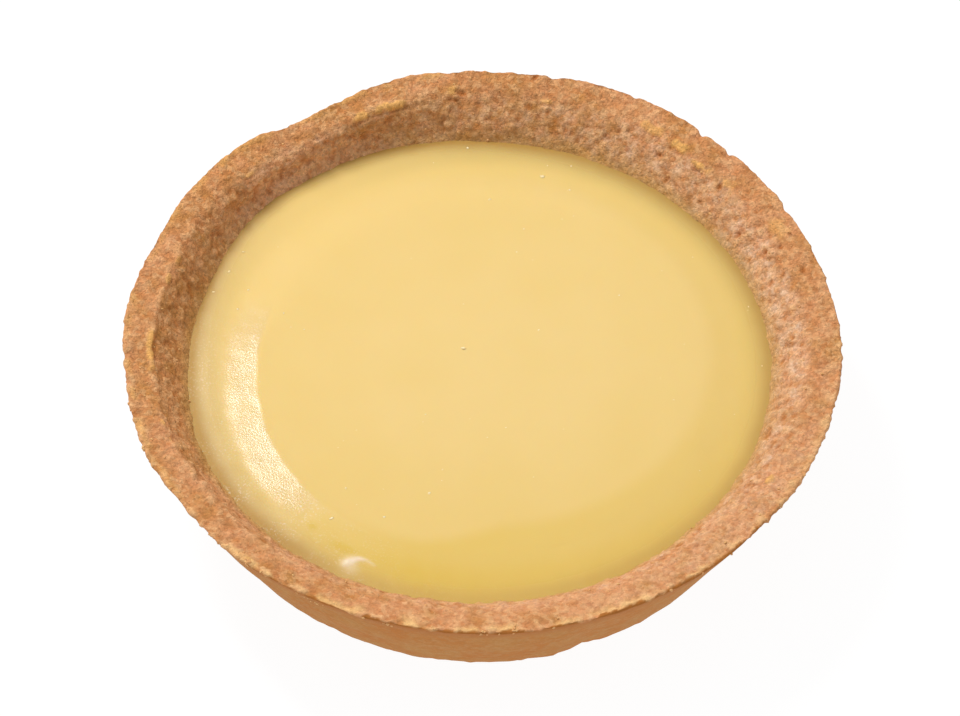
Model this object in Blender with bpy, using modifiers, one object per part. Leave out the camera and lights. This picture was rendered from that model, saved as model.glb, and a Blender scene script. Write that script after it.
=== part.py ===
"""Egg tart: a round shortcrust shell, moulded in a plain sloping tin, filled with set egg custard.

Metres, +Z up. The origin is the centre of the flat underside, and the tart stands on z = 0.
Both pieces are turned shapes. The rim is pressed a little out of round by hand, and the filled
hollow sits slightly off centre, so one side of the shell is thicker than the other.
"""

import math

import bpy

MM = 0.001

# Driving dimensions of the shell.
RIM_RADIUS = 40.0 * MM
BASE_RADIUS = 32.1 * MM
HEIGHT = 16.5 * MM
FLOOR_THICKNESS = 4.0 * MM
RIM_WIDTH = 3.7 * MM
RIM_FALL = 0.4 * MM  # how far the rim's top falls from its outer edge to its inner lip
LIP_ROUNDING = 1.1 * MM
BASE_ROUNDING = 1.3 * MM
HOLLOW_ROUNDING = 4.0 * MM
HOLLOW_SLOPE = math.radians(41.0)  # of the inner wall, from the vertical

# Driving dimensions of the filling.
CUSTARD_EDGE_HEIGHT = 11.6 * MM
PLATEAU_RADIUS = 25.0 * MM
PLATEAU_RISE = 1.3 * MM  # above the custard's edge, at the fold round the plateau
PLATEAU_DISH = 0.15 * MM  # how far the middle of the plateau sinks below that fold
FOLD_ROUNDING = 0.5 * MM
FIT_GAP = 0.3 * MM  # between the shell and its filling

# Where the rim was pressed in: azimuth, half-width along the rim, depth.
RIM_DENTS = (
    (math.radians(120), math.radians(10), 1.4 * MM),
    (math.radians(30), math.radians(24), 0.45 * MM),
    (math.radians(157), math.radians(11), 0.25 * MM),
)
RIM_WAVE = 0.08 * MM
RIM_WAVE_LOBES = 7
PRESS_FADE_INWARDS = 6  # powers by which the pressing dies away from the rim's outer edge
PRESS_FADE_DOWNWARDS = 2
HOLLOW_SHIFT = 0.55 * MM  # how far the hollow sits off the middle, and which way
HOLLOW_SHIFT_AZIMUTH = math.radians(158)

TURN_STEPS = 96
ARC_STEPS = 5

CRUST_COLOUR = (0.52, 0.26, 0.11, 1.0)
CUSTARD_COLOUR = (0.89, 0.65, 0.24, 1.0)


def outer_radius(height):
    """Radius of the shell's straight, sloping outer wall at a height."""
    return BASE_RADIUS + (RIM_RADIUS - BASE_RADIUS) * height / HEIGHT


def hollow_radius(height, gap=0.0):
    """Radius of the hollow's straight, sloping wall at a height, less a gap square to the wall."""
    lip_radius = RIM_RADIUS - RIM_WIDTH
    lip_height = HEIGHT - RIM_FALL
    wall = lip_radius - (lip_height - height) * math.tan(HOLLOW_SLOPE)
    return wall - gap / math.cos(HOLLOW_SLOPE)


def rounded(corners):
    """Points of an outline whose corners (radius, height, rounding) are replaced by arcs."""
    points = []
    for index, (x, z, rounding) in enumerate(corners):
        if not rounding:
            points.append((x, z))
            continue
        before, after = corners[index - 1], corners[index + 1]
        towards = [math.atan2(end[1] - z, end[0] - x) for end in (before, after)]
        turn = (towards[1] - towards[0] + math.pi) % (2 * math.pi) - math.pi
        middle = towards[0] + turn / 2
        away = rounding / math.sin(abs(turn) / 2)
        centre_x = x + away * math.cos(middle)
        centre_z = z + away * math.sin(middle)
        sweep = math.copysign(math.pi - abs(turn), -turn)
        start = middle + math.pi - sweep / 2
        for step in range(ARC_STEPS + 1):
            angle = start + sweep * step / ARC_STEPS
            points.append(
                (centre_x + rounding * math.cos(angle), centre_z + rounding * math.sin(angle))
            )
    return points


def crust_outline():
    """Half section of the shell: out along its floor, up the hollow, over the rim, down and in."""
    return rounded(
        [
            (0, FLOOR_THICKNESS, 0),
            (hollow_radius(FLOOR_THICKNESS), FLOOR_THICKNESS, HOLLOW_ROUNDING),
            (RIM_RADIUS - RIM_WIDTH, HEIGHT - RIM_FALL, LIP_ROUNDING),
            (RIM_RADIUS, HEIGHT, 0),
            (BASE_RADIUS, 0, BASE_ROUNDING),
            (0, 0, 0),
        ]
    )


def custard_outline():
    """Half section of the filling: its dished plateau, the fold, the sloping band and the side."""
    fold_height = CUSTARD_EDGE_HEIGHT + PLATEAU_RISE
    bottom = FLOOR_THICKNESS + FIT_GAP
    dished = [
        (share * PLATEAU_RADIUS, fold_height - PLATEAU_DISH * (1 - share**2), 0)
        for share in (0, 0.5)
    ]
    return rounded(
        dished
        + [
            (PLATEAU_RADIUS, fold_height, FOLD_ROUNDING),
            (hollow_radius(CUSTARD_EDGE_HEIGHT, FIT_GAP), CUSTARD_EDGE_HEIGHT, 0),
            (hollow_radius(bottom, FIT_GAP), bottom, HOLLOW_ROUNDING - FIT_GAP),
            (0, bottom, 0),
        ]
    )


def angle_between(a, b):
    """Signed angle from b to a, within half a turn either way."""
    return (a - b + math.pi) % (2 * math.pi) - math.pi


def rim_offset(azimuth):
    """How far the rim stands out of round at an azimuth: slow waves, less the pressed-in dents."""
    offset = RIM_WAVE * math.sin(RIM_WAVE_LOBES * azimuth)
    for dent_azimuth, half_width, depth in RIM_DENTS:
        offset -= depth * math.exp(-((angle_between(azimuth, dent_azimuth) / half_width) ** 2))
    return offset


def press_out_of_round(mesh):
    """Moves a turned mesh's points to the hand-pressed shape.

    The rim's offset fades out towards the base and the middle, and the hollow's shift fades out
    through the thickness of the wall, so the outer wall keeps the round tin's shape lower down.
    """
    for vertex in mesh.vertices:
        x, y, height = vertex.co
        radius = math.hypot(x, y)
        if radius < FIT_GAP:
            continue
        azimuth = math.atan2(y, x)
        share_out = min(radius / outer_radius(height), 1)
        share_up = max(height / HEIGHT, 0)
        reach = share_out**PRESS_FADE_INWARDS * share_up**PRESS_FADE_DOWNWARDS
        pressed = radius + rim_offset(azimuth) * reach
        through_wall = min((1 - share_out) * RIM_RADIUS / RIM_WIDTH, 1)
        shift = HOLLOW_SHIFT * through_wall * min(height / FLOOR_THICKNESS, 1)
        vertex.co.x = pressed * math.cos(azimuth) + shift * math.cos(HOLLOW_SHIFT_AZIMUTH)
        vertex.co.y = pressed * math.sin(azimuth) + shift * math.sin(HOLLOW_SHIFT_AZIMUTH)


def turned_object(name, outline, collection):
    """An object whose mesh is an outline turned once about Z, as one closed body."""
    profile = bpy.data.meshes.new(name + "_profile")
    points = [(x, 0, z) for x, z in outline]
    edges = [(index, index + 1) for index in range(len(points) - 1)]
    profile.from_pydata(points, edges, [])
    guide = bpy.data.objects.new(name + "_guide", profile)
    collection.objects.link(guide)
    screw = guide.modifiers.new("turn", "SCREW")
    screw.axis = "Z"
    screw.steps = TURN_STEPS
    screw.render_steps = TURN_STEPS
    screw.use_merge_vertices = True
    screw.merge_threshold = 0.00001
    graph = bpy.context.evaluated_depsgraph_get()
    mesh = bpy.data.meshes.new_from_object(guide.evaluated_get(graph))
    bpy.data.objects.remove(guide)
    bpy.data.meshes.remove(profile)
    mesh.name = name
    piece = bpy.data.objects.new(name, mesh)
    collection.objects.link(piece)
    return piece


def shade(mesh):
    """Smooth shading, broken only at the sharp turns of the outline."""
    mesh.shade_smooth()
    mesh.set_sharp_from_angle(angle=math.radians(50))


def material(name, colour, roughness, coat=0.0, subsurface=0.0):
    """A Principled material with one colour."""
    made = bpy.data.materials.new(name)
    made.use_nodes = True
    shader = made.node_tree.nodes["Principled BSDF"]
    shader.inputs["Base Color"].default_value = colour
    shader.inputs["Roughness"].default_value = roughness
    shader.inputs["Metallic"].default_value = 0.0
    shader.inputs["Coat Weight"].default_value = coat
    shader.inputs["Subsurface Weight"].default_value = subsurface
    made.diffuse_color = colour
    return made


def make_crust(collection):
    """The baked shell, with its floor, sloping wall and rim."""
    crust = turned_object("crust", crust_outline(), collection)
    press_out_of_round(crust.data)
    shade(crust.data)
    crust.data.materials.append(material("baked_pastry", CRUST_COLOUR, 0.85))
    return crust


def make_custard(collection):
    """The set filling, up to the level that shows."""
    custard = turned_object("custard", custard_outline(), collection)
    press_out_of_round(custard.data)
    shade(custard.data)
    looks = material("egg_custard", CUSTARD_COLOUR, 0.4, coat=0.2, subsurface=0.1)
    custard.data.materials.append(looks)
    return custard


def clear_scene():
    """Removes whatever the scene starts with."""
    for thing in list(bpy.data.objects):
        bpy.data.objects.remove(thing, do_unlink=True)


def main():
    """Builds the tart in a collection of its own."""
    clear_scene()
    collection = bpy.data.collections.new("egg_tart")
    bpy.context.scene.collection.children.link(collection)
    make_crust(collection)
    make_custard(collection)


main()
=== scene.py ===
"""The finished looks of an egg tart: its baked shell, its set custard and the crumbs on them.

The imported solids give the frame: metres, +Z up, the origin at the middle of the flat underside.
Sizes here are in millimetres, and a mesh is turned into metres as it is made. Azimuths are in
degrees, anticlockwise from +X as seen from above. A place on the shell is an azimuth and a
distance across the shell's section from the rim's outer edge: above zero inwards over the rim and
down the hollow, below zero down the outer wall.
"""

import logging
import math
import random
from collections.abc import Callable
from dataclasses import dataclass, field
from enum import Enum

import bmesh
import bpy
import numpy as np
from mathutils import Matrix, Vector, noise

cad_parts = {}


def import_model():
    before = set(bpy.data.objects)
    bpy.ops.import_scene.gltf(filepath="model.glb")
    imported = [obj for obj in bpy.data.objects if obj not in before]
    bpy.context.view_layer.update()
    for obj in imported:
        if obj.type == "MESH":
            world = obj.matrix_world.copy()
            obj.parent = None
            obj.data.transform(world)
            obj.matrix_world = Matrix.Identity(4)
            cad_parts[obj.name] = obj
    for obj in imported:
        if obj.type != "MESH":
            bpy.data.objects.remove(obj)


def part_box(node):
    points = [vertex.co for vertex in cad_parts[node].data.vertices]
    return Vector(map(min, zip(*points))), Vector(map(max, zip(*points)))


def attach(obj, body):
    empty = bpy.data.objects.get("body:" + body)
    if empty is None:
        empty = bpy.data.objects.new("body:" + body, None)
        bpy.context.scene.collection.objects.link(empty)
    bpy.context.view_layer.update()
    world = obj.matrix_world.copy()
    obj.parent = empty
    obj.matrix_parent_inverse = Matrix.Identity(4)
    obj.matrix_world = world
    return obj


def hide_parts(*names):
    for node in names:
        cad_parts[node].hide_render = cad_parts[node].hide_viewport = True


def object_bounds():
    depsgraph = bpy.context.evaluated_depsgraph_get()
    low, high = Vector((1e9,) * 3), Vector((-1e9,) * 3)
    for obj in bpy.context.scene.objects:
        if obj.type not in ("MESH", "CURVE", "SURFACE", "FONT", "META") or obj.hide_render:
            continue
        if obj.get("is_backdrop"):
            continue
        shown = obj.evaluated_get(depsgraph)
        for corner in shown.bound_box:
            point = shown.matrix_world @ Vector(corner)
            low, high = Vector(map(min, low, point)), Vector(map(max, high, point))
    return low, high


Array = np.ndarray
Colour = tuple[float, float, float]
Faces = list[tuple[int, ...]]
Knots = tuple[tuple[float, float], ...]  # azimuths, rising, and a value at each
Section = Callable[[Array, Array], Array]  # points, by distances along a section and azimuths
Socket = bpy.types.NodeSocket

MM = 0.001
BODY = "root"
LOG = logging.getLogger("egg_tart")
LUMP_STEP = (7.31, 3.17, 5.53)  # how far the next seed's pattern of lumps lies from this one
GRAIN_STEP = (2.73, 6.11, 4.19)  # and the next seed's pattern of grains
GRAIN_SHUFFLE = 37.7  # tells one grain's own number from the next one's
FEWEST_POINTS = 36  # in a ring
CROWDING = 1.35  # how far apart a ring's points may be, beside the distance to the next ring
LUMP_SPACING = 3.3  # how far apart in a pattern two neighbouring crumbs take their dents from
FACING_UP = 0.6  # how far up a direction points where it counts as upwards
WHITE = (1.0, 1.0, 1.0)


class Slot(Enum):
    """The material slots that the finishes belong to."""

    PASTRY = "baked_pastry"
    CUSTARD = "egg_custard"


class Mask(Enum):
    """What a mesh tells its finish about each point."""

    KNOB = "knob"
    BORDER = "border"
    SANDY = "sandy"
    # Redder hollows, and painted shadow under the golden patches.
    HOLLOW_AND_SHADOW = "hollow"
    MOULDED = "moulded"
    BUTTERY = "buttery"
    # Toasted pastry, and painted shade on the hollow's wall.
    TOAST_AND_SHADE = "toast_and_shade"
    # Pale pastry, and painted light on the hollow's right wall.
    BLOND_AND_LIT = "blond_and_lit"
    # Painted shade on the wall under the cut border.
    UNDER_BORDER_SHADE = "under_border_shade"
    SOAKED = "soaked"
    EDGE = "edge"
    DEEP = "deep"
    # Painted shade on the custard beside the pastry's wall.
    SHADED = "shaded"
    # Where the key light's sheen falls: rippled skin, and a painted dimming of the colour.
    RIPPLED_SHEEN = "rippled_sheen"
    # Where painted glints go.
    GLINTED = "glinted"
    MILKY = "milky"


# Patterns in space.


def lumps(places: Array, size: float, seed: int) -> Array:
    """Smooth lumps and hollows.

    Args:
        places: Points in millimetres, one to a row.
        size: The lumps' size in millimetres.
        seed: Which pattern.

    Returns:
        About -1 to 1 at each point.
    """
    start = Vector([seed * step for step in LUMP_STEP])
    return np.array([noise.noise(Vector(place) + start) for place in (places / size).tolist()])


def grains(places: Array, size: float, seed: int, reach: float, rarity: tuple[float, float]) -> Array:
    """Rounded grains that stand up here and there.

    Args:
        places: Points in millimetres, one to a row.
        size: The grains' usual spacing in millimetres.
        seed: Which pattern.
        reach: A grain's radius as a share of the spacing.
        rarity: The share of grains that are missing, and the share that are lower than the rest.

    Returns:
        From 0 between the grains to 1 on top of one.
    """
    start = Vector([seed * step for step in GRAIN_STEP])
    away, own = [], []
    for place in (places / size).tolist():
        distances, middles = noise.voronoi(Vector(place) + start)
        away.append(distances[0])
        own.append(noise.cell(middles[0] * GRAIN_SHUFFLE))
    return held(1.0 - (np.array(away) / reach) ** 2) * smooth_step(*rarity, np.array(own) % 1.0)


def held(values: Array) -> Array:
    """Values held between 0 and 1."""
    return np.clip(values, 0.0, 1.0)


def smooth_step(low: float | Array, high: float | Array, values: Array) -> Array:
    """A smooth rise from 0 at low to 1 at high."""
    share = held((values - low) / (high - low))
    return share * share * (3.0 - 2.0 * share)


def hump(values: Array, half_width: float | Array) -> Array:
    """A bell that is 1 at zero and has faded to about a third at half a width."""
    return np.exp(-((values / half_width) ** 2))


def angle_from(azimuths: Array, middle: float) -> Array:
    """Signed degrees from the middle to each azimuth, within half a turn."""
    return (azimuths - middle + 180.0) % 360.0 - 180.0


def beyond(azimuths: Array, middle: float, near: float, far: float) -> Array:
    """A smooth rise from 0 within near degrees of the middle to 1 beyond far degrees."""
    return smooth_step(near, far, np.abs(angle_from(azimuths, middle)))


def between(azimuths: Array, start: float, full: float, fading: float, end: float) -> Array:
    """1 from full to fading, with a smooth rise up from start and a smooth fall down to end."""
    return smooth_step(start, full, azimuths) * (1.0 - smooth_step(fading, end, azimuths))


def around(azimuths: Array, knots: Knots) -> Array:
    """A value that is given at some azimuths, drawn straight between them right round."""
    return np.interp(azimuths, *np.array(knots).T, period=360.0)


def ramp_up(distance: Array, reach: Array | float) -> Array:
    """The part of a distance above zero, with the corner at zero rounded over a reach.

    Args:
        distance: Signed distances from a corner.
        reach: How far to each side the rounding goes.

    Returns:
        0 well below zero, the distance itself well above it, and a parabola between them.
    """
    reach = np.maximum(reach, 1e-6)
    inside = (np.clip(distance, -reach, reach) + reach) ** 2 / (4.0 * reach)
    return np.where(distance > reach, distance, inside)


# Turned skins.


@dataclass(frozen=True)
class Row:
    """One ring of a turned skin: how far along the section it is and how many points it has."""

    along: float
    count: int


@dataclass(frozen=True)
class Band:
    """A stretch of a section: where it ends and how far apart its rings are."""

    end: float
    spacing: float


@dataclass(frozen=True)
class Spot:
    """A small feature: where it is, how far it reaches round and across, and how strong it is."""

    azimuth: float
    across: float
    round_reach: float
    across_reach: float
    strength: float = 1.0


@dataclass(frozen=True)
class Dent:
    """A dent in the rim: its azimuth, its half-width in degrees and its depth."""

    azimuth: float
    half_width: float
    depth: float

    def depth_at(self, azimuths: Array) -> Array:
        """How deep it is at each azimuth."""
        return self.depth * hump(angle_from(azimuths, self.azimuth), self.half_width)


@dataclass(frozen=True)
class Seat:
    """Where a small lump sits: its place, the direction out of the surface, its size and flatness."""

    place: Array
    outward: Array
    size: float
    flatness: float


def graded_rows(bands: list[Band], most: int, point_at: Section) -> list[Row]:
    """Rings along a section whose points lie about as far apart round as along.

    Args:
        bands: The section's stretches in order, from its start at zero.
        most: The largest number of points in a ring. The others halve it once or more.
        point_at: The section's surface.

    Returns:
        The rings, with single points at both ends and neighbours that differ at most twofold.
    """
    places, counts = [], []
    start = 0.0
    for band in bands:
        steps = max(round((band.end - start) / band.spacing), 1)
        for step in range(steps):
            along = start + (band.end - start) * (step + 0.5) / steps
            point = point_at(np.array([along]), np.zeros(1))[0]
            length = math.tau * math.hypot(point[0], point[1])
            count = most
            while count // 2 >= FEWEST_POINTS and length * 2 / count <= CROWDING * band.spacing:
                count //= 2
            places.append(along)
            counts.append(count)
        start = band.end
    for order in (range(1, len(counts)), range(len(counts) - 2, -1, -1)):
        for index in order:
            counts[index] = max(counts[index], counts[index - order.step] // 2)
    rings = [Row(along, count) for along, count in zip(places, counts, strict=True)]
    return [Row(0.0, 1), *rings, Row(bands[-1].end, 1)]


def stitched(counts: list[int]) -> Faces:
    """Faces that join rings into one skin.

    Args:
        counts: The number of points in each ring, in order along the section.

    Returns:
        Corner numbers of each face, anticlockwise as seen from outside.
    """
    faces: Faces = []
    a = 0
    for count, after in zip(counts, counts[1:], strict=False):
        b = a + count
        fewer = min(count, after)
        steps = fewer if fewer > 1 else max(count, after)
        for j in range(steps):
            k = (j + 1) % steps
            if count == after:
                faces.append((a + j, a + k, b + k, b + j))
            elif count == 1:
                faces.append((a, b + k, b + j))
            elif after == 1:
                faces.append((a + j, a + k, b))
            elif after > count:
                faces.append((a + j, b + 2 * j + 1, b + 2 * j))
                faces.append((a + j, a + k, b + 2 * j + 1))
                faces.append((a + k, b + 2 * k, b + 2 * j + 1))
            else:
                faces.append((a + 2 * j, a + 2 * j + 1, b + j))
                faces.append((a + 2 * j + 1, b + k, b + j))
                faces.append((a + 2 * j + 1, a + 2 * k, b + k))
        a = b
    return faces


@dataclass
class Skin:
    """A turned skin's points, with each one's place on the section and its masks."""

    points: Array
    outward: Array
    azimuths: Array
    along: Array
    across: Array
    counts: list[int]
    masks: dict[Mask, Array] = field(default_factory=dict)

    @classmethod
    def turned(cls, rows: list[Row], point_at: Section, origin: float = 0.0) -> "Skin":
        """Turns a section about the upright axis.

        Args:
            rows: The rings.
            point_at: The section's surface.
            origin: Where along the section the distances across it are counted from.

        Returns:
            The skin before any relief.
        """
        nudge, turn = 0.02, 0.05
        along = np.concatenate([np.full(row.count, row.along) for row in rows])
        azimuths = np.concatenate([np.arange(row.count) * 360.0 / row.count for row in rows])
        rise = point_at(along + nudge, azimuths) - point_at(along - nudge, azimuths)
        sweep = point_at(along, azimuths + turn) - point_at(along, azimuths - turn)
        outward = np.cross(sweep, rise)
        outward = outward / np.maximum(np.linalg.norm(outward, axis=1, keepdims=True), 1e-12)
        outward[0], outward[-1] = (0.0, 0.0, -1.0), (0.0, 0.0, 1.0)
        counts = [row.count for row in rows]
        return cls(point_at(along, azimuths), outward, azimuths, along, along - origin, counts)

    @property
    def radius(self) -> Array:
        """Each point's distance from the upright axis."""
        return np.hypot(self.points[:, 0], self.points[:, 1])

    def lumps(self, size: float, seed: int) -> Array:
        """Smooth lumps and hollows at the skin's points, of a size and with a seed."""
        return lumps(self.points, size, seed)

    def towards(self, azimuth: float, half_width: float) -> Array:
        """How far each point is on the side of an azimuth: a bell with a half-width in degrees."""
        return hump(angle_from(self.azimuths, azimuth), half_width)

    def off_spot(self, spot: Spot, across: Array) -> Array:
        """How far each point is from a spot's middle.

        Args:
            spot: The spot.
            across: Each point's distance in the direction in which the spot's is given.

        Returns:
            Distances as a share of the spot's reach.
        """
        aside = np.radians(angle_from(self.azimuths, spot.azimuth)) * self.radius
        return np.hypot(aside / spot.round_reach, (across - spot.across) / spot.across_reach)

    def off_place(self, azimuth: float, radius: float) -> Array:
        """How far each point is, seen from above, from the place at an azimuth and a radius."""
        turn = math.radians(azimuth)
        return np.hypot(*(self.points[:, :2] - [radius * math.cos(turn), radius * math.sin(turn)]).T)

    def raise_by(self, heights: Array) -> None:
        """Moves each point outwards by its height in millimetres."""
        self.points = self.points + self.outward * heights[:, None]

    def seat(self, off: Array, size: float, flatness: float, lift: float = 0.0) -> Seat:
        """A small lump's seat on the skin.

        Args:
            off: How far each point is from where the lump belongs.
            size: The lump's size in millimetres.
            flatness: Its thickness as a share of its size.
            lift: How far it stands out of the skin, as a share of its size.

        Returns:
            The seat, at the nearest point.
        """
        index = int(np.argmin(off))
        outward = self.outward[index]
        return Seat(self.points[index] + outward * size * lift, outward, size, flatness)

    def solid(self, name: str) -> bpy.types.Object:
        """One closed, smoothly shaded mesh object of this skin, with its masks.

        Args:
            name: The piece's name.

        Returns:
            The object, in metres.
        """
        made = mesh_object(name, self.points, stitched(self.counts))
        for mask, values in self.masks.items():
            layer = made.data.attributes.new(mask.value, "FLOAT", "POINT")
            layer.data.foreach_set("value", values.astype(np.float32))
        return made


def add_object(name: str, data: bpy.types.ID) -> bpy.types.Object:
    """A new object, linked to the scene.

    Args:
        name: The object's name.
        data: Its mesh, camera or light.

    Returns:
        The object.
    """
    made = bpy.data.objects.new(name, data)
    bpy.context.scene.collection.objects.link(made)
    return made


def mesh_object(name: str, points: Array, faces: Faces) -> bpy.types.Object:
    """A smoothly shaded mesh object.

    Args:
        name: The piece's name.
        points: Points in millimetres.
        faces: Corner numbers of each face.

    Returns:
        The object, in metres.
    """
    mesh = bpy.data.meshes.new(name)
    mesh.from_pydata((points * MM).tolist(), [], faces)
    mesh.shade_smooth()
    mesh.update()
    return add_object(name, mesh)


# The tart's shape.


@dataclass(frozen=True)
class TartForm:
    """The tart's driving sizes, as its solids have them."""

    rim_radius: float
    height: float
    fold_height: float
    custard_bottom: float
    base_radius: float = 32.1
    floor_thickness: float = 4.0
    rim_width: float = 3.7
    rim_fall: float = 0.4
    hollow_slope: float = 41.0
    custard_edge_height: float = 11.6
    rim_wave: float = 0.08
    rim_wave_lobes: int = 7
    rim_dents: tuple[Dent, ...] = (Dent(120, 10, 1.4), Dent(30, 24, 0.45), Dent(157, 11, 0.25))
    rim_drifts: Knots = (
        (0, 0.18), (12, -0.1), (30, 0.0), (40, 0.18), (47, -0.25), (53, 0.0), (70, 0.2), (85, -0.2),
        (100, 0.1), (121, -0.1), (127, -0.45), (132, 0.15), (150, 0.2), (160, -0.1), (175, 0.2),
        (190, 0.1), (197, 0.35), (204, 0.38), (210, 0.0), (217, -0.2), (225, 0.05), (305, 0.0),
        (321, -0.3), (332, 0.0),
    )
    hollow_shift: float = 0.55
    hollow_shift_azimuth: float = 158.0
    hollow_drifts: Knots = (
        (0, -0.3), (40, -0.35), (62, -0.45), (80, -0.2), (100, 0.28), (120, 0.95), (140, 0.7),
        (160, 0.0), (180, -0.25), (200, 0.1), (280, 0.05), (320, -0.2),
    )

    @classmethod
    def from_frame(cls) -> "TartForm":
        """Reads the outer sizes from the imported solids.

        Returns:
            The form.
        """
        low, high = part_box("crust")
        custard_low, custard_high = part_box("custard")
        return cls((high.y - low.y) / 2 / MM, high.z / MM, custard_high.z / MM, custard_low.z / MM)

    @property
    def lip_height(self) -> float:
        """Height of the rim's inner lip."""
        return self.height - self.rim_fall

    @property
    def slope_shortening(self) -> float:
        """How much height there is in a length of the hollow's wall."""
        return math.cos(math.radians(self.hollow_slope))

    def wall_radius(self, height: Array) -> Array:
        """Radius of the straight, sloping outer wall at a height."""
        return self.base_radius + (self.rim_radius - self.base_radius) * height / self.height

    def hollow_radius(self, height: Array | float) -> Array | float:
        """Radius of the hollow's straight, sloping wall at a height."""
        inwards = (self.lip_height - height) * math.tan(math.radians(self.hollow_slope))
        return self.rim_radius - self.rim_width - inwards

    def rim_offset(self, azimuths: Array) -> Array:
        """How far the rim stands out of round: slow waves and drifts, less the pressed-in dents.

        Args:
            azimuths: Azimuths.

        Returns:
            Millimetres outwards.
        """
        waves = self.rim_wave * np.sin(self.rim_wave_lobes * np.radians(azimuths))
        dents = sum(dent.depth_at(azimuths) for dent in self.rim_dents)
        return waves + around(azimuths, self.rim_drifts) - dents

    def placed(self, radius: Array, height: Array, azimuths: Array, shift: Array) -> Array:
        """Points of a turned section, moved the way that the hollow sits off the middle.

        Args:
            radius: Distances from the section's axis.
            height: Heights.
            azimuths: Azimuths.
            shift: How far each point is moved.

        Returns:
            Points in millimetres.
        """
        turn, aside = np.radians(azimuths), math.radians(self.hollow_shift_azimuth)
        x = radius * np.cos(turn) + shift * math.cos(aside)
        y = radius * np.sin(turn) + shift * math.sin(aside)
        return np.stack([x, y, height + np.zeros_like(x)], axis=1)

    def pressed(self, radius: Array, height: Array, azimuths: Array) -> Array:
        """Places a turned section's points in the hand-pressed tart.

        Args:
            radius: Radii before pressing.
            height: Heights.
            azimuths: Azimuths.

        Returns:
            Points in millimetres.
        """
        share_out = held(radius / self.wall_radius(height))
        share_up = np.maximum(height / self.height, 0.0)
        out = radius + self.rim_offset(azimuths) * share_out**6 * share_up**2
        through_wall = np.minimum((1.0 - share_out) * self.rim_radius / self.rim_width, 1.0)
        shift = self.hollow_shift * through_wall * held(height / self.floor_thickness)
        return self.placed(out, height, azimuths, shift)


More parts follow.
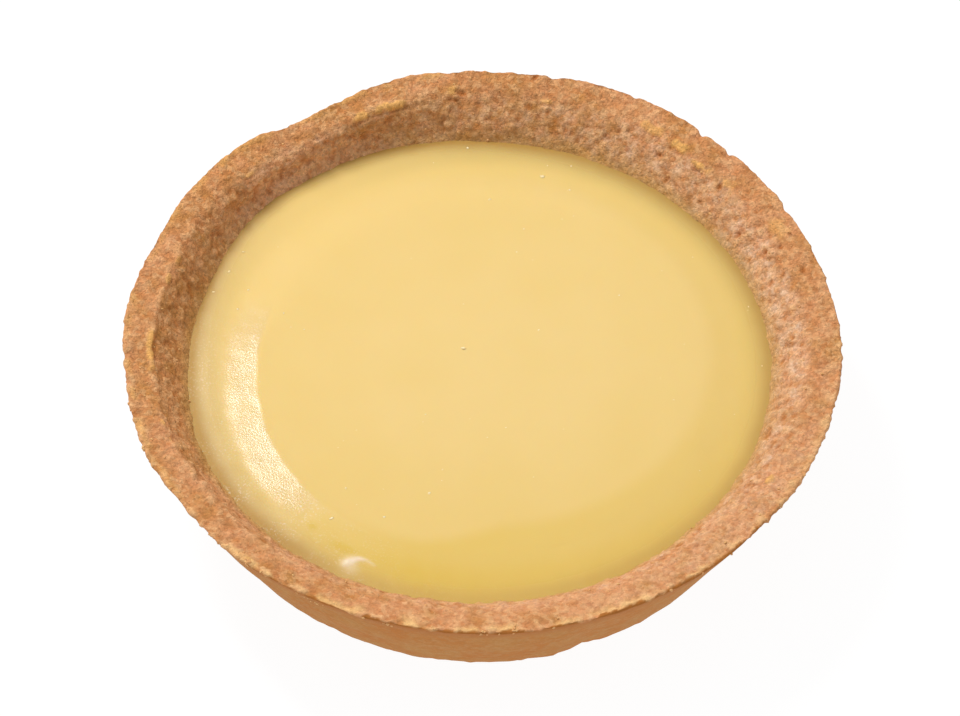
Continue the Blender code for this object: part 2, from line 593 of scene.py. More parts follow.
@dataclass
class CrustShell:
    """The baked shortcrust shell: a grainy cut rim and hollow, and a smooth moulded outside."""

    form: TartForm
    waterline: Callable[[Array], Array]
    most_points: int = 1152
    foot_reach: float = 0.455
    edge_reach: float = 0.18
    floor_reach: float = 2.0
    lip_corner: int = 3  # which of the section's corners is the inner lip
    crisp_lip: float = 0.7
    soft_lip: float = 2.6
    lump_relief: float = 0.2
    crumb_relief: float = 0.12
    clump_relief: float = 0.2
    wall_wave: float = 0.1
    border_ledge: float = 0.13
    border_relief: float = 0.12
    edge_wear: float = 0.13
    lip_wander: float = 0.2
    lip_burr: float = 0.16
    patch_height: float = 0.14
    pit_depth: float = 0.45
    groove_depth: float = 0.2
    nick_reach: float = 1.3
    lip_widths: Knots = (
        (60, 0.0), (94, -0.2), (100, 0.0), (104, 0.4), (108, 0.6), (113, 0.45), (122, 0.3), (137, 0.8),
        (144, 0.5), (151, 0.1), (160, 0.6), (166, 0.45), (175, 0.0), (186, 0.0), (197, -0.45),
        (203, -0.1), (240, 0.0),
    )
    # Painted shade on the hollow's wall by azimuth: darker at the back and the left, which face away from
    # the key light, and painted lighter between about 113 and 143 degrees.
    wall_painted_shade: Knots = (
        (0, 0.0), (35, 0.05), (60, 0.4), (75, 0.75), (92, 0.75), (106, 0.4), (118, -0.3), (134, -0.6),
        (148, 0.3), (165, 0.4), (182, 0.4), (205, 0.15), (222, 0.0), (305, 0.0), (322, 0.2), (345, 0.1),
    )
    foot_drifts: Knots = (
        (0, 0.0), (200, 0.3), (235, 0.38), (250, 0.35), (284, 0.28), (290, -0.2), (296, 0.1), (310, 0.0),
        (321, -0.35), (332, 0.0),
    )
    patches: tuple[Spot, ...] = (
        Spot(51.5, 3.2, 1.6, 0.6), Spot(45.5, 3.7, 1.3, 0.5), Spot(57.5, 3.0, 1.4, 0.7, 0.7),
        Spot(39.0, 3.5, 0.8, 0.7, 0.6), Spot(26.0, 2.2, 1.7, 1.0, 0.45), Spot(78.0, 3.7, 0.7, 0.35, 0.8),
        Spot(95.0, 2.9, 0.6, 0.8, 0.8), Spot(329.0, 3.0, 0.7, 0.5, 0.9), Spot(112.5, 3.9, 1.1, 0.6),
        Spot(106.5, 3.85, 2.4, 0.5), Spot(137.0, 4.2, 0.9, 0.35, 0.7), Spot(161.0, 4.0, 0.9, 0.35, 0.6),
        Spot(166.0, 3.9, 0.8, 0.35, 0.7), Spot(181.5, 3.4, 2.3, 0.55), Spot(198.0, 3.5, 0.7, 0.3, 0.7),
        Spot(202.0, 3.6, 0.5, 0.25, 0.6), Spot(230.0, 0.7, 0.5, 0.3, 0.7),
    )
    pits: tuple[Spot, ...] = (
        Spot(54.0, 5.3, 0.5, 0.22, 0.8), Spot(63.0, 5.0, 0.3, 0.2, 0.5), Spot(65.0, 5.9, 0.2, 0.3, 0.45),
        Spot(50.0, 7.5, 0.25, 0.5, 0.5), Spot(40.0, 4.3, 0.18, 0.3, 0.4), Spot(31.0, 3.1, 0.25, 0.25, 0.45),
        Spot(30.0, 6.5, 0.22, 0.5, 0.6), Spot(23.0, 5.1, 0.35, 0.45, 0.85), Spot(22.0, 3.1, 0.3, 0.28, 0.7),
        Spot(24.0, 7.1, 0.15, 0.4, 0.4), Spot(16.0, 2.0, 0.45, 0.35, 0.6), Spot(2.0, 5.3, 0.2, 0.3, 0.45),
        Spot(358.0, 6.2, 0.3, 0.2, 0.45), Spot(344.0, 5.4, 0.25, 0.3, 0.4), Spot(217.0, 5.2, 0.3, 0.2, 0.4),
        Spot(81.2, 0.5, 0.3, 0.3, 0.7), Spot(93.2, 3.3, 0.4, 0.7, 0.4), Spot(94.6, 4.2, 0.7, 0.35, 0.4),
    )
    nicks: tuple[Dent, ...] = (
        Dent(96, 0.8, 0.14), Dent(78, 0.9, 0.245), Dent(64, 0.8, 0.175), Dent(50, 0.8, 0.28),
        Dent(44, 0.7, 0.245), Dent(29, 0.9, 0.175), Dent(208, 1.0, 0.21), Dent(284, 0.8, 0.14),
    )

    @property
    def edge_along(self) -> float:
        """How far along the section the rim's outer edge is."""
        form = self.form
        return form.base_radius + math.hypot(form.rim_radius - form.base_radius, form.height)

    def corners(self) -> list[tuple[float, float, float]]:
        """The half section's corners, from the underside's middle to the hollow's.

        Returns:
            Each one's radius and height, and how far its rounding reaches. The lip's is left at 0,
            because it differs round the rim.
        """
        form = self.form
        return [
            (0.0, 0.0, 0.0),
            (form.base_radius, 0.0, self.foot_reach),
            (form.rim_radius, form.height, self.edge_reach),
            (form.rim_radius - form.rim_width, form.lip_height, 0.0),
            (form.hollow_radius(form.floor_thickness), form.floor_thickness, self.floor_reach),
            (0.0, form.floor_thickness, 0.0),
        ]

    def lip_softness(self, azimuths: Array) -> Array:
        """How worn the inner lip is, from 0 on its crisp side to 1 on the other."""
        softness = beyond(azimuths, 168.0, 52.0, 78.0)
        return np.maximum(softness, 0.9 * hump(angle_from(azimuths, 135.0), 20.0))

    def torn(self, azimuths: Array) -> Array:
        """How torn the border of the cut is: 0 at the back and 1 round the front."""
        return beyond(azimuths, 90.0, 70.0, 100.0)

    def wander(self, azimuths: Array) -> Array:
        """How much wider the rim is than usual.

        Args:
            azimuths: Azimuths.

        Returns:
            Millimetres.
        """
        turn = np.radians(azimuths)
        ring = np.stack([np.cos(turn), np.sin(turn), 0.0 * turn], axis=1) * self.form.rim_radius
        uneven = lumps(ring, 6.0, 61) + 0.6 * lumps(ring, 2.2, 62)
        return around(azimuths, self.lip_widths) + self.lip_wander * uneven

    def point_at(self, along: Array, azimuths: Array) -> Array:
        """The shell's plain surface.

        Args:
            along: Distances along the section, from the underside's middle.
            azimuths: Azimuths.

        Returns:
            Points in millimetres.
        """
        corners = self.corners()
        radius, height = np.zeros_like(along), np.zeros_like(along)
        heading = np.zeros(2)
        passed = 0.0
        for index, (r, z, reach) in enumerate(corners[:-1]):
            onward = np.array(corners[index + 1][:2]) - (r, z)
            step = math.hypot(*onward)
            start = passed
            if index == self.lip_corner:
                reach = self.crisp_lip + (self.soft_lip - self.crisp_lip) * self.lip_softness(azimuths)
                wander = self.wander(azimuths)
                start = passed + wander
                wider = wander + around(azimuths, self.form.hollow_drifts)
                radius = radius + wider * smooth_step(0.3, 4.5, along - start)
            gone = ramp_up(along - start, reach) if index else along
            radius = radius + (onward[0] / step - heading[0]) * gone
            height = height + (onward[1] / step - heading[1]) * gone
            heading = onward / step
            passed += step
        # The nicks cut into the rim's outer edge, inwards and down alike.
        notch = sum(nick.depth_at(azimuths) for nick in self.nicks)
        notch = notch * hump(along - self.edge_along, self.nick_reach)
        return self.form.pressed(np.maximum(radius - notch, 0.0), height - notch, azimuths)

    def rows(self) -> list[Row]:
        """The shell's rings: dense over the rim and the hollow that shows, sparse out of sight.

        Returns:
            The rings from the underside's middle to the hollow's.
        """
        form, edge = self.form, self.edge_along
        lip = edge + math.hypot(form.rim_width, form.rim_fall)
        below_custard = lip + (form.lip_height - form.custard_edge_height + 1.0) / form.slope_shortening
        floor_start = lip + (form.lip_height - form.floor_thickness) / form.slope_shortening
        bands = [
            Band(form.base_radius - 2.0, 1.4),
            Band(form.base_radius + 1.6, 0.6),
            Band(edge - 1.6, 0.66),
            Band(edge - 0.7, 0.32),
            Band(edge + 0.5, 0.17),
            Band(below_custard, 0.2),
            Band(floor_start, 1.6),
            Band(floor_start + form.hollow_radius(form.floor_thickness), 2.4),
        ]
        return graded_rows(bands, self.most_points, self.point_at)

    def build(self) -> Skin:
        """The shell's skin with its relief and masks.

        Returns:
            The skin, in millimetres.
        """
        skin = Skin.turned(self.rows(), self.point_at, self.edge_along)
        tear = 0.5 * skin.lumps(1.8, 1) + 0.35 * skin.lumps(0.7, 2)
        wall_shows = 1.0 - beyond(skin.azimuths, 276.0, 38.0, 56.0)
        ragged = skin.across + 0.5 - 0.7 * wall_shows + (0.35 + 0.65 * wall_shows) * tear
        above = skin.points[:, 2] - self.waterline(skin.azimuths) + 0.2 * skin.lumps(1.5, 45)
        inside = skin.across > 0.0
        skin.masks = {
            Mask.MOULDED: 1.0 - smooth_step(-0.1, 0.06, ragged),
            Mask.TOAST_AND_SHADE: self.toast_and_shade_at(skin),
            Mask.BLOND_AND_LIT: self.blondness_and_light(skin),
            # Painted shade on the moulded wall just under the cut border, round the front.
            Mask.UNDER_BORDER_SHADE: hump(np.minimum(ragged + 0.3, 0.0), 2.4) * self.torn(skin.azimuths),
            Mask.SOAKED: hump(above, 0.9) * inside * (1.0 - skin.towards(128.0, 34.0)),
            Mask.BUTTERY: self.patch_cover(skin),
        }
        calm = 1.0 - 0.6 * (1.0 - skin.towards(285.0, 70.0)) * hump(above, 0.8) * inside
        height = self.crumb_relief_at(skin) * calm + self.patch_height * skin.masks[Mask.BUTTERY]
        height = height + self.hole_relief(skin) + self.edge_relief(skin, ragged)
        skin.raise_by(height + self.moulded_relief(skin))
        skin.points[:, 2] = np.maximum(skin.points[:, 2], 0.0)
        return skin

    def crumb_relief_at(self, skin: Skin) -> Array:
        """Relief of the sandy crumb, with the masks of its raised grains and its hollows.

        Args:
            skin: The shell's plain skin, which takes the masks.

        Returns:
            Heights in millimetres.
        """
        across, patches = skin.across, skin.masks[Mask.BUTTERY]
        cut = 1.0 - skin.masks[Mask.MOULDED]
        slow, quick, sandy = skin.lumps(3.4, 5), skin.lumps(1.2, 6), skin.lumps(0.62, 3)
        grain = grains(skin.points, 0.52, 8, 0.5, (0.6, 0.9))
        clump = grains(skin.points, 1.1, 4, 0.62, (0.5, 0.8))
        torn, at_front = self.torn(skin.azimuths), skin.towards(262.0, 48.0)
        in_hollow = smooth_step(3.0, 4.6, across)
        border = torn * hump(across - 0.4, 0.5) * smooth_step(-0.15, 0.35, quick + 0.4 * sandy)
        streaks = smooth_step(-0.25, 0.2, skin.lumps(2.4, 9) + 0.4 * quick)
        reach = 0.5 + 0.9 * at_front * held(skin.lumps(3.4, 12) + 0.15)
        burr = hump(across - 3.7, 0.5) * (1.0 - self.lip_softness(skin.azimuths)) * (0.6 + 0.9 * quick)
        knobs = 0.3 * (grain + sandy + quick) + 0.5 * (clump * in_hollow + burr) + border
        browned = 0.6 * in_hollow * skin.towards(178.0, 44.0)
        crevice = held(-1.5 * (sandy + quick) - 0.4)
        skin.masks |= {
            Mask.BORDER: torn * (0.3 + 0.7 * at_front) * hump(across - 0.45, reach) * streaks,
            Mask.SANDY: 1.0 - 0.45 * skin.towards(272.0, 60.0),
            Mask.KNOB: cut * held(knobs) * (1.0 - browned),
            Mask.HOLLOW_AND_SHADOW: cut * crevice * (0.3 + 0.4 * in_hollow) * (1.0 - patches),
        }
        heights = (
            self.lump_relief * (slow + 0.6 * quick)
            + self.crumb_relief * (sandy + 1.1 * grain - 0.3)
            + self.clump_relief * (clump - 0.25) * in_hollow
            + self.border_relief * border * (0.3 + 0.7 * at_front)
        )
        return cut * ((1.0 - 0.8 * patches) * heights + self.lip_burr * burr)

    def patch_cover(self, skin: Skin) -> Array:
        """Where the smooth golden patches lie.

        Args:
            skin: The shell's plain skin.

        Returns:
            From 0 to 1.
        """
        uneven = 0.65 * skin.lumps(0.9, 41) + 0.4 * skin.lumps(0.4, 42)
        streaks = smooth_step(-0.1, 0.35, skin.lumps(2.2, 7))
        side = between(skin.azimuths, 84.0, 100.0, 206.0, 226.0)
        cover = 0.5 * side * hump(skin.across - 0.5, 0.5) * streaks
        for patch in self.patches:
            off = skin.off_spot(patch, skin.across) + uneven
            cover = np.maximum(cover, patch.strength * (1.0 - smooth_step(0.55, 1.2, off)))
        return cover

    def hole_relief(self, skin: Skin) -> Array:
        """Relief of the pits and of the grooves under the patches. The pits join the mask of the hollows,
        and so does a painted shadow under each patch.

        Args:
            skin: The shell's plain skin, which takes the mask.

        Returns:
            Heights in millimetres, zero or less.
        """
        height, hollow = np.zeros_like(skin.across), skin.masks[Mask.HOLLOW_AND_SHADOW]
        uneven = skin.lumps(0.5, 43)
        for pit in self.pits:
            depth = hump(np.maximum(skin.off_spot(pit, skin.across) + 0.9 * uneven, 0.0), 1.0)
            height = height - self.pit_depth * pit.strength * depth
            hollow = np.maximum(hollow, depth)
        # Under each patch a groove is cut, and a painted shadow is laid in the hollows' colour.
        for patch in self.patches:
            below = patch.across + 1.35 * patch.across_reach
            under = Spot(patch.azimuth, below, 0.8 * patch.round_reach, 0.5 * patch.across_reach)
            shade = patch.strength * hump(skin.off_spot(under, skin.across), 1.0)
            height = height - self.groove_depth * shade
            hollow = np.maximum(hollow, 0.6 * shade * (0.8 + uneven))
        skin.masks[Mask.HOLLOW_AND_SHADOW] = hollow
        return height * (1.0 - 0.7 * skin.masks[Mask.MOULDED])

    def edge_relief(self, skin: Skin, ragged: Array) -> Array:
        """Relief of the rim's outer edge: how it is worn, and the ledge of cut pastry over the wall.

        Args:
            skin: The shell's plain skin.
            ragged: Distances across the section from the ragged border of the cut.

        Returns:
            Heights in millimetres.
        """
        front = self.torn(skin.azimuths)
        wear = 0.7 * skin.lumps(2.8, 10) + (0.2 + 0.25 * front) * skin.lumps(1.0, 11)
        ledge = self.border_ledge * (0.3 + 0.7 * front) * smooth_step(-0.25, 0.05, ragged)
        return self.edge_wear * wear * hump(skin.across, 1.1) + ledge * hump(skin.across + 0.1, 0.8)

    def moulded_relief(self, skin: Skin) -> Array:
        """Relief of the moulded outside: slow waves, and a crumbled edge round the foot.

        Args:
            skin: The shell's plain skin, with the mask of where it is moulded.

        Returns:
            Heights in millimetres.
        """
        from_foot = skin.along - self.form.base_radius
        flattened = skin.points * np.array([1.0, 1.0, 2.6])
        wave = skin.lumps(9.0, 13) + 0.35 * lumps(flattened, 4.0, 14) + 0.2 * skin.lumps(1.2, 15)
        upright = smooth_step(-3.0, 0.0, from_foot)
        waves = self.wall_wave * wave * skin.masks[Mask.MOULDED] * (0.2 + 0.8 * upright)
        crumbled = 0.22 * skin.lumps(1.6, 16) + 0.2 * skin.lumps(0.8, 17) - 0.1
        drift = around(skin.azimuths, self.foot_drifts) * smooth_step(2.0, 9.0, -skin.across) * upright
        return waves + crumbled * hump(from_foot, 1.2) + drift

    def toast_and_shade_at(self, skin: Skin) -> Array:
        """How dark each place is: toasted, plus painted shade on the hollow's wall.

        Args:
            skin: The shell's plain skin.

        Returns:
            From 0 for pale to 1 for dark.
        """
        at_front = skin.towards(270.0, 62.0)
        # in_hollow is painted shade on the hollow's wall, set by azimuth.
        in_hollow = smooth_step(3.6, 4.6, skin.across) * around(skin.azimuths, self.wall_painted_shade)
        patches = (0.55 * skin.lumps(3.6, 21) + 0.6 * skin.lumps(1.7, 22)) * (1.0 + 0.45 * at_front)
        return held(0.3 + 0.3 * skin.towards(122.0, 62.0) + in_hollow - 0.14 * at_front + patches)

    def blondness_and_light(self, skin: Skin) -> Array:
        """How pale the hollow's wall and a part of the rim have stayed, plus painted light: paler on the
        hollow's right wall, which faces the key light, and round 129 degrees.

        Args:
            skin: The shell's plain skin.

        Returns:
            From 0 to 1.
        """
        # Painted light: the hollow's wall is paler on the right, which faces the key light, than on the
        # left.
        wall = 0.35 - 0.28 * skin.towards(185.0, 55.0) + 0.65 * skin.towards(8.0, 62.0)
        wall = (wall + 0.1 * skin.towards(129.0, 22.0)) * smooth_step(2.4, 5.0, skin.across)
        rim = 0.4 * skin.towards(318.0, 26.0) * smooth_step(0.2, 1.0, skin.across)
        uneven = 0.75 + 0.75 * skin.lumps(1.5, 23) + 0.4 * skin.lumps(0.7, 24)
        return held(np.maximum(wall, rim) * uneven)


@dataclass
class CustardFilling:
    """The set egg custard: a round plateau, a fold at its edge and a band down to the pastry."""

    form: TartForm
    most_points: int = 1152
    fold_radius: float = 25.4
    fold_lean: float = 1.45
    fold_lean_azimuth: float = 262.0
    fold_squeeze: float = 0.4
    dish: float = 0.15
    crisp_fold: float = 0.15
    soft_fold: float = 2.4
    edge_level: float = 12.3
    level_lean: float = 0.28
    level_lean_azimuth: float = 110.0
    reach_into_wall: float = 0.75
    bottom_inset: float = 0.4
    table_reach: float = 14.0
    table_steps: int = 280
    band_tilts: Knots = ((0.0, 7.8), (1.3, 7.2), (2.5, 6.9), (3.4, 6.3), (4.3, 3.9), (5.2, 2.0), (7.5, 1.6))
    steepness: Knots = (
        (0, 0.9), (140, 1.0), (160, 1.3), (178, 1.3), (192, 1.1), (205, 1.0), (215, 0.97), (219, 0.85),
        (231, 0.42), (290, 0.42), (310, 0.9),
    )
    deep_from: Knots = (
        (0, 24.5), (35, 25.3), (90, 26.0), (225, 26.0), (255, 25.0), (275, 22.0), (305, 22.5), (335, 23.5),
    )
    deepness: Knots = (
        (0, 0.3), (35, 0.3), (90, 0.2), (140, 0.1), (200, 0.1), (225, 0.2), (240, 0.5), (255, 0.75),
        (275, 0.58), (305, 0.5), (335, 0.4),
    )
    # Painted shade on the custard near the pastry's wall, by azimuth.
    shading: Knots = (
        (0, 0.25), (35, 0.6), (90, 0.9), (112, 0.55), (128, 0.1), (146, 0.35), (190, 0.9), (225, 0.45),
        (240, 0.2), (255, 0.0), (335, 0.0),
    )
    wrinkle: tuple[tuple[float, float, float, float], ...] = (  # azimuth, radius, half-width, strength
        (242.0, 31.7, 0.55, 0.9),
        (242.8, 31.2, 0.55, 1.0),
        (243.8, 30.7, 0.32, 1.0),
        (245.4, 30.5, 0.2, 0.6),
        (247.5, 30.8, 0.16, 0.3),
    )
    stains: tuple[Spot, ...] = (Spot(230.8, 29.7, 0.75, 0.4, 0.6), Spot(239.5, 30.2, 1.2, 0.4, 0.6))

    @property
    def bottom_radius(self) -> float:
        """Radius of the flat bottom."""
        return self.form.hollow_radius(self.form.custard_bottom) - self.bottom_inset

    @property
    def side_length(self) -> float:
        """Length of the section's side."""
        return (self.edge_level - self.form.custard_bottom) / self.form.slope_shortening

    @property
    def top_length(self) -> float:
        """Length of the section over the top, from the edge to the middle."""
        return self.form.hollow_radius(self.edge_level) + self.reach_into_wall

    def fold_at(self, azimuths: Array) -> Array:
        """Radius of the fold round the plateau."""
        lean = self.fold_lean * np.cos(np.radians(azimuths - self.fold_lean_azimuth))
        return self.fold_radius + lean - self.fold_squeeze * np.cos(np.radians(2 * azimuths))

    def lean_at(self, azimuths: Array) -> Array:
        """How far the custard's level has sunk at the base's radius."""
        return self.level_lean * np.cos(np.radians(azimuths - self.level_lean_azimuth))

    def wall_at(self, azimuths: Array) -> Array:
        """Radius of the pastry at the custard's edge.

        Args:
            azimuths: Azimuths.

        Returns:
            Radii in millimetres.
        """
        shift = self.form.hollow_shift * np.cos(np.radians(azimuths - self.form.hollow_shift_azimuth))
        drift = around(azimuths, self.form.hollow_drifts)
        return self.form.hollow_radius(self.edge_level - self.lean_at(azimuths)) + drift + shift

    def waterline(self, azimuths: Array) -> Array:
        """Height of the custard's edge at the pastry."""
        return self.top_height(self.wall_at(azimuths), azimuths)

    def top_height(self, radius: Array, azimuths: Array) -> Array:
        """Height of the custard's plain top.

        Args:
            radius: Distances from the middle.
            azimuths: Azimuths.

        Returns:
            Heights in millimetres.
        """
        fold = self.fold_at(azimuths)
        softness = beyond(azimuths, 204.0, 30.0, 50.0)
        down = ramp_up(radius - fold, self.crisp_fold + (self.soft_fold - self.crisp_fold) * softness)
        fall = np.interp(down, *self.fall_table()) * around(azimuths, self.steepness)
        dish = self.dish * (1.0 - held(radius / fold) ** 2)
        lean = self.lean_at(azimuths) * radius / self.form.base_radius
        return self.form.fold_height - dish - fall - lean

    def fall_table(self) -> tuple[Array, Array]:
        """The band's fall, worked out from its tilt.

        Returns:
            Distances out from the fold, and how far the band has fallen by each.
        """
        out = np.linspace(0.0, self.table_reach, self.table_steps + 1)
        tilt = np.interp(out, *np.array(self.band_tilts).T)
        return out, np.cumsum(np.tan(np.radians(tilt))) * out[1]

    def point_at(self, along: Array, azimuths: Array) -> Array:
        """The filling's plain surface.

        Args:
            along: Distances along the section: over the bottom, up the side and in over the top.
            azimuths: Azimuths.

        Returns:
            Points in millimetres.
        """
        bottom, low = self.bottom_radius, self.form.custard_bottom
        edge = self.wall_at(azimuths) + self.reach_into_wall
        up = held((along - bottom) / self.side_length)
        inwards = np.maximum((along - bottom - self.side_length) / self.top_length, 0.0)
        radius = np.clip(along, 0.0, bottom) + (edge - bottom) * up - edge * inwards
        side = low + (self.top_height(edge, azimuths) - low) * up
        height = np.where(inwards > 0.0, self.top_height(radius, azimuths), side)
        shift = self.form.hollow_shift * (1.0 - smooth_step(0.0, 1.0, up))
        return self.form.placed(radius, height, azimuths, shift)

    def rows(self) -> list[Row]:
        """The filling's rings: dense over the band, looser on the plateau, sparse below.

        Returns:
            The rings from the bottom's middle to the top's.
        """
        top_start = self.bottom_radius + self.side_length
        bands = [
            Band(self.bottom_radius, 2.4),
            Band(top_start - 1.0, 1.6),
            Band(top_start, 0.4),
            Band(top_start + 8.9, 0.2),
            Band(top_start + 11.0, 0.36),
            Band(top_start + self.top_length, 0.5),
        ]
        return graded_rows(bands, self.most_points, self.point_at)

    def build(self) -> Skin:
        """The filling's skin with its relief and masks.

        Returns:
            The skin, in millimetres.
        """
        skin = Skin.turned(self.rows(), self.point_at)
        on_top = skin.outward[:, 2] > FACING_UP
        out = skin.radius - self.fold_at(skin.azimuths)
        band = smooth_step(-0.1, 0.3, out) * on_top
        wrinkle = self.wrinkle_at(skin)
        ring = hump(skin.radius - 26.3 - 0.055 * angle_from(skin.azimuths, 254.0), 0.6)
        height = (0.032 * skin.lumps(4.2, 33) + 0.013 * skin.lumps(1.6, 34)) * band
        height = height + 0.02 * skin.lumps(11.0, 35) * (1.0 - band)
        height = height + 0.08 * wrinkle * (0.8 + 0.9 * skin.lumps(0.6, 38))
        height = height + 0.02 * ring * skin.towards(270.0, 20.0)
        beside_wrinkle = hump(skin.off_place(243.5, 32.2), 0.8)
        # The custard's colour is dimmed by paint where the key light's sheen falls, to tone the sheen down.
        sheen_zone = self.sheen_zone(skin, out)
        # Painted glints: milky specks that stand in for the key light's glints on the skin's tiny bumps.
        glints = band * skin.towards(215.0, 36.0) * smooth_step(-0.35, 0.35, skin.lumps(2.6, 37))
        gap = np.maximum(self.wall_at(skin.azimuths) - skin.radius + 0.1 * skin.lumps(2.0, 36), 0.0)
        skin.masks = {
            Mask.EDGE: self.browning(skin, gap),
            Mask.DEEP: self.depth_of_colour(skin),
            Mask.SHADED: self.shade(skin, gap),
            Mask.RIPPLED_SHEEN: held(sheen_zone),
            Mask.GLINTED: held(sheen_zone + 0.9 * glints),
            Mask.MILKY: held(0.75 * wrinkle + 0.25 * beside_wrinkle),
        }
        skin.raise_by(height * on_top)
        return skin

    def sheen_zone(self, skin: Skin, out: Array) -> Array:
        """Where the key light's sheen falls on the band: there the skin takes its ripples and a painted
        dimming of its colour.

        Args:
            skin: The filling's plain skin.
            out: Distances out from the fold.

        Returns:
            0 or more.
        """
        side = between(skin.azimuths, 158.0, 174.0, 221.0, 232.0)
        sheen_zone = side * smooth_step(0.0, 0.35, out) * (1.0 - 0.85 * smooth_step(2.6, 4.6, out))
        sheen_zone = sheen_zone + 0.6 * hump(skin.radius - 31.2, 0.9) * skin.towards(185.0, 12.0)
        return sheen_zone * (0.85 + 0.3 * skin.lumps(2.0, 31))

    def browning(self, skin: Skin, gap: Array) -> Array:
        """How browned the custard's edge is.

        Args:
            skin: The filling's plain skin.
            gap: Distances in from the pastry.

        Returns:
            From 0 to 1.
        """
        left = between(skin.azimuths, 60.0, 100.0, 222.0, 246.0)
        reach = 1.6 - 0.3 * left + 0.6 * skin.towards(198.0, 45.0)
        browned = (0.46 + 0.42 * left) * (1.0 - 0.6 * skin.towards(131.0, 26.0)) * hump(gap, reach)
        return held(browned + 0.4 * (1.0 - skin.towards(278.0, 75.0)) * hump(gap, 0.8))

    def depth_of_colour(self, skin: Skin) -> Array:
        """How deep a yellow the custard is.

        Args:
            skin: The filling's plain skin.

        Returns:
            From 0 to 1.
        """
        radius, start = skin.radius, around(skin.azimuths, self.deep_from)
        stained = np.zeros_like(radius)
        for stain in self.stains:
            off = np.maximum(skin.off_spot(stain, radius) + 0.5 * skin.lumps(0.8, 39), 0.0)
            stained = np.maximum(stained, stain.strength * hump(off, 1.0))
        outer = 0.11 * smooth_step(10.0, 24.0, radius) * (1.0 + 1.2 * skin.towards(270.0, 50.0))
        deep = 0.65 * smooth_step(start, start + 2.5, radius) + 0.35 * smooth_step(27.5, 30.5, radius)
        return held(outer + around(skin.azimuths, self.deepness) * deep + stained)

    def shade(self, skin: Skin, gap: Array) -> Array:
        """How much painted shade darkens the custard beside the pastry's wall.

        Args:
            skin: The filling's plain skin.
            gap: Distances in from the pastry.

        Returns:
            From 0 to 1.
        """
        near = 0.06 * smooth_step(24.5, 26.5, skin.radius) + 0.3 * smooth_step(28.3, 31.0, skin.radius)
        return around(skin.azimuths, self.shading) * (near + 0.6 * hump(gap, 1.6))

    def wrinkle_at(self, skin: Skin) -> Array:
        """The wrinkle in the skin near the front: a smear that thins out to a fine ridge.

        Args:
            skin: The filling's plain skin.

        Returns:
            From 0 to 1.
        """
        cover = np.zeros_like(skin.azimuths)
        knots = np.array(self.wrinkle)
        for start, end in zip(knots, knots[1:], strict=False):
            for share in np.linspace(0.0, 1.0, 7):
                azimuth, radius, width, strength = start + (end - start) * share
                cover = np.maximum(cover, strength * hump(skin.off_place(azimuth, radius), width))
        return cover


# Small things on the tart.


def lump_shapes(
    seats: list[Seat], chance: random.Random, detail: int, seed: int
) -> tuple[Array, Faces]:
    """Uneven little lumps, joined.

    Args:
        seats: Where the lumps sit.
        chance: Source of the lumps' turns and proportions.
        detail: How many times each lump's starting shape is divided.
        seed: Which pattern the lumps are dented by.

    Returns:
        Points in millimetres and faces.
    """
    ball = bmesh.new()
    bmesh.ops.create_icosphere(ball, subdivisions=detail, radius=0.5)
    ball_points = np.array([vertex.co[:] for vertex in ball.verts])
    ball_faces = [tuple(vertex.index for vertex in face.verts) for face in ball.faces]
    ball.free()
    points, faces = [], []
    for index, seat in enumerate(seats):
        aim = Vector(seat.outward).to_track_quat("Z", "Y").to_matrix()
        turn = chance.uniform(0.0, math.tau)
        stretch = np.array([chance.uniform(0.75, 1.35), chance.uniform(0.7, 1.0), seat.flatness])
        c, s = math.cos(turn), math.sin(turn)
        twist = np.array([[c, -s, 0.0], [s, c, 0.0], [0.0, 0.0, 1.0]])
        apart = ball_points + index * LUMP_SPACING
        dents = 1.0 + 0.9 * lumps(apart, 0.6, seed) + 0.35 * lumps(apart, 0.25, seed + 1)
        shape = ball_points * dents[:, None] * stretch * seat.size
        points.append(shape @ twist.T @ np.array(aim).T + seat.place)
        faces += [tuple(corner + index * len(ball_points) for corner in face) for face in ball_faces]
    return np.concatenate(points), faces


@dataclass
class StuckCrumbs:
    """Loose pale crumbs on the cut rim, under its border and on the outer wall."""

    shell: Skin
    grains: int = 120
    border_crumbs: int = 16
    crumbs_to_a_cluster: int = 5
    standing_out: float = 0.04
    detail: int = 2
    seed: int = 7
    clusters: tuple[tuple[float, float, float], ...] = (  # azimuth, across, size
        (202.0, -0.1, 0.8), (219.0, -5.1, 0.9), (255.0, -0.8, 0.75), (241.0, -1.6, 0.7),
        (243.0, -2.1, 0.55), (239.5, -1.2, 0.6), (242.0, -2.9, 0.5), (270.0, 0.2, 0.7),
        (275.0, 0.1, 0.7), (230.0, 0.4, 0.8),
    )

    def build(self) -> bpy.types.Object:
        """All the crumbs as one piece.

        Returns:
            The piece.
        """
        chance = random.Random(self.seed)
        seats = []
        for _ in range(self.grains):
            across, size = chance.uniform(0.6, 9.0), chance.uniform(0.15, 0.32)
            seats.append(self.seat(chance.uniform(0.0, 360.0), across, size, chance.uniform(0.5, 0.9)))
        for _ in range(self.border_crumbs):
            across, size = chance.gauss(-0.1, 0.22), chance.uniform(0.2, 0.42)
            seats.append(self.seat(chance.uniform(190.0, 350.0), across, size, chance.uniform(0.5, 0.9)))
        for azimuth, across, size in self.clusters:
            for _ in range(self.crumbs_to_a_cluster):
                aside = azimuth + chance.gauss(0.0, 0.5) * size
                up = across + chance.gauss(0.0, 0.3) * size
                seats.append(self.seat(aside, up, size * chance.uniform(0.3, 0.6), 0.5))
        return mesh_object("pastry_crumbs", *lump_shapes(seats, chance, self.detail, 51))

    def seat(self, azimuth: float, across: float, size: float, flatness: float) -> Seat:
        """One crumb's seat, a little sunk in the pastry."""
        off = np.abs(self.shell.across - across) + np.abs(angle_from(self.shell.azimuths, azimuth)) * 0.5
        return self.shell.seat(off, size, flatness, self.standing_out)


